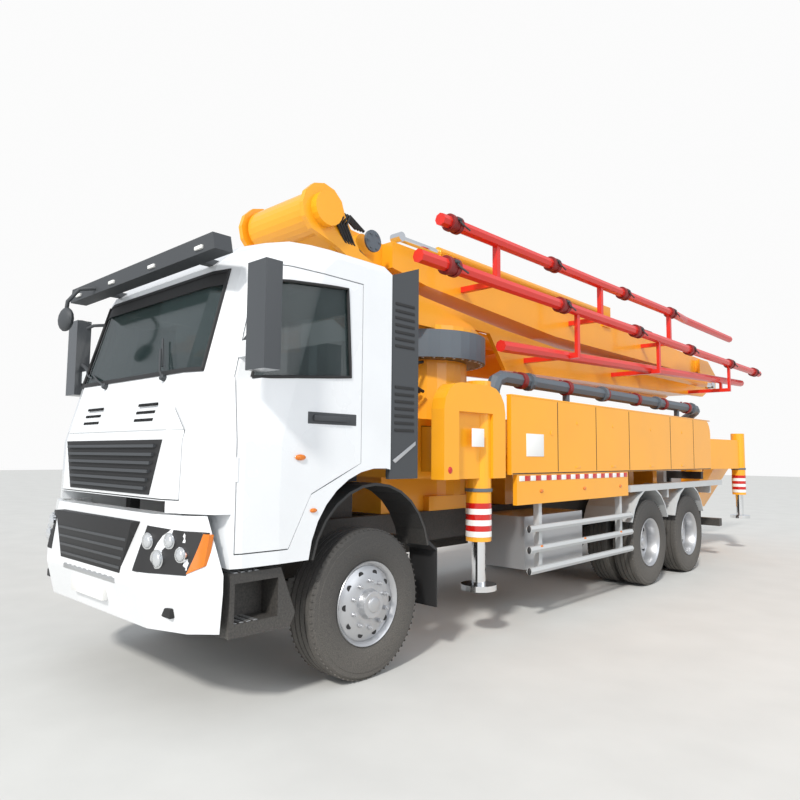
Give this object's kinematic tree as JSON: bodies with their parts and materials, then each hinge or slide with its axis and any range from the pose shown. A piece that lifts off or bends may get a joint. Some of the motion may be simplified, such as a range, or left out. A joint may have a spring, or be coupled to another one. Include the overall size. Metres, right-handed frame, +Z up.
{
  "type": "truck mounted concrete pump",
  "caption": "Cab-over truck with a folding concrete placing boom on a slewing turret, outriggers, hopper and pump.",
  "frame": {"origin": "ground level below the centre of the bounding box", "axes": "+Z up, -Y towards the front of the truck, +X towards its left side"},
  "size_m": [2.98, 12.44, 4.022],
  "materials": {
    "boom_yellow": "gloss",
    "cab_white": "gloss",
    "trim_charcoal": "matte",
    "chassis_black": "satin",
    "tyre": "matte",
    "silver": "satin",
    "light_grey": "satin",
    "slate": "satin",
    "pipe_red": "gloss",
    "rod_chrome": "polished",
    "glass": "clear",
    "seat_fabric": "matte"
  },
  "bodies": {
    "cab": {"cab_shell": "cab_white", "windscreen": "glass", "cab_dashboard": "trim_charcoal", "cab_seats": "seat_fabric", "sun_visor": "trim_charcoal", "left_side_deflector": "trim_charcoal", "right_side_deflector": "trim_charcoal"},
    "flap": {"front_flap": "cab_white"},
    "left_door_leaf": {"left_door": "cab_white", "left_door_glass": "glass"},
    "left_knuckle": {"left_steering_knuckle": "chassis_black"},
    "front_left_road_wheel": {"front_left_wheel": "tyre"},
    "middle_left_twins": {"middle_left_twin_wheels": "tyre"},
    "rear_left_twins": {"rear_left_twin_wheels": "tyre"},
    "front_left_leg_beam": {"front_left_outrigger": "boom_yellow"},
    "front_left_jack": {"front_left_jack_leg": "rod_chrome"},
    "rear_left_leg_arm": {"rear_left_outrigger": "boom_yellow"},
    "rear_left_jack": {"rear_left_jack_leg": "rod_chrome"},
    "right_door_leaf": {"right_door": "cab_white", "right_door_glass": "glass"},
    "right_knuckle": {"right_steering_knuckle": "chassis_black"},
    "front_right_road_wheel": {"front_right_wheel": "tyre"},
    "middle_right_twins": {"middle_right_twin_wheels": "tyre"},
    "rear_right_twins": {"rear_right_twin_wheels": "tyre"},
    "front_right_leg_beam": {"front_right_outrigger": "boom_yellow"},
    "front_right_jack": {"front_right_jack_leg": "rod_chrome"},
    "rear_right_leg_arm": {"rear_right_outrigger": "boom_yellow"},
    "rear_right_jack": {"rear_right_jack_leg": "rod_chrome"},
    "grate": {"hopper_grate": "chassis_black"},
    "turntable": {"turret": "boom_yellow"},
    "boom_1": {"boom_section_1": "boom_yellow", "boom_1_pipes": "pipe_red"},
    "boom_2": {"boom_section_2": "boom_yellow", "boom_2_pipes": "pipe_red"},
    "boom_3": {"boom_section_3": "boom_yellow"},
    "boom_4": {"boom_section_4": "boom_yellow"},
    "lift_cylinder": {"lift_barrel": "boom_yellow"},
    "lift_piston": {"lift_rod": "rod_chrome"},
    "fold_2_cylinder": {"fold_2_barrel": "boom_yellow"},
    "fold_2_piston": {"fold_2_rod": "rod_chrome"},
    "fold_3_cylinder": {"fold_3_barrel": "boom_yellow"},
    "fold_3_piston": {"fold_3_rod": "rod_chrome"},
    "chassis": {"battery_box": "chassis_black", "chassis_frame": "chassis_black", "deck_body": "boom_yellow", "deck_delivery_pipe": "slate", "engine_block": "chassis_black", "front_axle": "chassis_black", "front_bumper": "cab_white", "fuel_tank": "silver", "hopper": "boom_yellow", "left_front_mudguard": "chassis_black", "left_side_guard": "light_grey", "pedestal": "boom_yellow", "pump_unit": "light_grey", "rear_mudguards": "light_grey", "right_front_mudguard": "chassis_black", "right_side_guard": "light_grey", "slewing_ring": "slate", "tandem_axles": "chassis_black"}
  },
  "joints": [
    {"name": "cab_tilt", "type": "hinge", "parent": "chassis", "child": "cab", "pos_m": [0, -6.12, 1.27], "axis": [1, 0, 0], "range_deg": [0, 60]},
    {"name": "front_flap_lift", "type": "hinge", "parent": "cab", "child": "flap", "pos_m": [0, -6.075, 2.03], "axis": [-1, 0, 0], "range_deg": [0, 80]},
    {"name": "left_door_swing", "type": "hinge", "parent": "cab", "child": "left_door_leaf", "pos_m": [1.205, -5.85, 1.5], "axis": [0, 0, -1], "range_deg": [0, 70]},
    {"name": "left_steer", "type": "hinge", "parent": "chassis", "child": "left_knuckle", "pos_m": [0.8, -4.68, 0.54], "axis": [0, 0, 1], "range_deg": [-35, 35]},
    {"name": "front_left_wheel_spin", "type": "hinge", "parent": "left_knuckle", "child": "front_left_road_wheel", "pos_m": [1.035, -4.68, 0.54], "axis": [1, 0, 0], "continuous": true},
    {"name": "middle_left_wheel_spin", "type": "hinge", "parent": "chassis", "child": "middle_left_twins", "pos_m": [0.92, 0.32, 0.54], "axis": [1, 0, 0], "continuous": true},
    {"name": "rear_left_wheel_spin", "type": "hinge", "parent": "chassis", "child": "rear_left_twins", "pos_m": [0.92, 1.72, 0.54], "axis": [1, 0, 0], "continuous": true},
    {"name": "front_left_outrigger_slide", "type": "slide", "parent": "chassis", "child": "front_left_leg_beam", "axis": [1, 0, 0], "range_m": [0, 0.75]},
    {"name": "front_left_jack_slide", "type": "slide", "parent": "front_left_leg_beam", "child": "front_left_jack", "axis": [0, 0, -1], "range_m": [0, 0.4]},
    {"name": "rear_left_outrigger_swing", "type": "hinge", "parent": "chassis", "child": "rear_left_leg_arm", "pos_m": [0.86, 3.04, 1.7], "axis": [0, 0, -1], "range_deg": [0, 85]},
    {"name": "rear_left_jack_slide", "type": "slide", "parent": "rear_left_leg_arm", "child": "rear_left_jack", "axis": [0, 0, -1], "range_m": [0, 0.55]},
    {"name": "right_door_swing", "type": "hinge", "parent": "cab", "child": "right_door_leaf", "pos_m": [-1.205, -5.85, 1.5], "axis": [0, 0, 1], "range_deg": [0, 70]},
    {"name": "right_steer", "type": "hinge", "parent": "chassis", "child": "right_knuckle", "pos_m": [-0.8, -4.68, 0.54], "axis": [0, 0, 1], "range_deg": [-36, 36]},
    {"name": "front_right_wheel_spin", "type": "hinge", "parent": "right_knuckle", "child": "front_right_road_wheel", "pos_m": [-1.035, -4.68, 0.54], "axis": [1, 0, 0], "continuous": true},
    {"name": "middle_right_wheel_spin", "type": "hinge", "parent": "chassis", "child": "middle_right_twins", "pos_m": [-0.92, 0.32, 0.54], "axis": [1, 0, 0], "continuous": true},
    {"name": "rear_right_wheel_spin", "type": "hinge", "parent": "chassis", "child": "rear_right_twins", "pos_m": [-0.92, 1.72, 0.54], "axis": [1, 0, 0], "continuous": true},
    {"name": "front_right_outrigger_slide", "type": "slide", "parent": "chassis", "child": "front_right_leg_beam", "axis": [-1, 0, 0], "range_m": [0, 0.75]},
    {"name": "front_right_jack_slide", "type": "slide", "parent": "front_right_leg_beam", "child": "front_right_jack", "axis": [0, 0, -1], "range_m": [0, 0.4]},
    {"name": "rear_right_outrigger_swing", "type": "hinge", "parent": "chassis", "child": "rear_right_leg_arm", "pos_m": [-0.86, 3.04, 1.7], "axis": [0, 0, 1], "range_deg": [0, 85]},
    {"name": "rear_right_jack_slide", "type": "slide", "parent": "rear_right_leg_arm", "child": "rear_right_jack", "axis": [0, 0, -1], "range_m": [0, 0.55]},
    {"name": "hopper_grate_lift", "type": "hinge", "parent": "chassis", "child": "grate", "pos_m": [0, 4.12, 1.525], "axis": [1, 0, 0], "range_deg": [0, 90]},
    {"name": "slew", "type": "hinge", "parent": "chassis", "child": "turntable", "pos_m": [0, -2.73, 2.88], "axis": [0, 0, 1], "range_deg": [-90, 90]},
    {"name": "boom_1_lift", "type": "hinge", "parent": "turntable", "child": "boom_1", "pos_m": [0, -4.58, 3.7], "axis": [1, 0, 0], "range_deg": [0, 75]},
    {"name": "boom_2_fold", "type": "hinge", "parent": "boom_1", "child": "boom_2", "pos_m": [0, 5.57, 3.12], "axis": [-1, 0, 0], "range_deg": [0, 180]},
    {"name": "boom_3_fold", "type": "hinge", "parent": "boom_2", "child": "boom_3", "pos_m": [0, -3.9, 3.62], "axis": [1, 0, 0], "range_deg": [0, 180]},
    {"name": "boom_4_fold", "type": "hinge", "parent": "boom_3", "child": "boom_4", "pos_m": [0, 5.37, 3.62], "axis": [-1, 0, 0], "range_deg": [0, 180]},
    {"name": "lift_barrel_swing", "type": "hinge", "parent": "turntable", "child": "lift_cylinder", "pos_m": [0, -3.18, 3.095], "axis": [1, 0, 0], "range_deg": [0, 91]},
    {"name": "lift_rod_slide", "type": "slide", "parent": "lift_cylinder", "child": "lift_piston", "axis": [0, 0.9988, -0.0487], "range_m": [0, 1.55]},
    {"name": "fold_2_barrel_swing", "type": "hinge", "parent": "boom_1", "child": "fold_2_cylinder", "pos_m": [0.56, 1.92, 2.98], "axis": [1, 0, 0], "range_deg": [0, 4]},
    {"name": "fold_2_rod_slide", "type": "slide", "parent": "fold_2_cylinder", "child": "fold_2_piston", "axis": [0, 1, 0.0065], "range_m": [0, 0.45]},
    {"name": "fold_3_barrel_swing", "type": "hinge", "parent": "boom_2", "child": "fold_3_cylinder", "pos_m": [0.25, 1.02, 3.78], "axis": [-1, 0, 0], "range_deg": [0, 2]},
    {"name": "fold_3_rod_slide", "type": "slide", "parent": "fold_3_cylinder", "child": "fold_3_piston", "axis": [0, -1, 0.0045], "range_m": [0, 0.36]}
  ],
  "couplings": [
    {"joint": "right_steer", "follows": "left_steer", "ratio": 1},
    {"joint": "lift_barrel_swing", "follows": "boom_1_lift", "ratio": 1.2},
    {"joint": "lift_rod_slide", "follows": "boom_1_lift", "m_per_rad": 1.15},
    {"joint": "fold_2_barrel_swing", "follows": "boom_2_fold", "ratio": 0.02},
    {"joint": "fold_2_rod_slide", "follows": "boom_2_fold", "m_per_rad": 0.14},
    {"joint": "fold_3_barrel_swing", "follows": "boom_3_fold", "ratio": 0.01},
    {"joint": "fold_3_rod_slide", "follows": "boom_3_fold", "m_per_rad": 0.11}
  ]
}
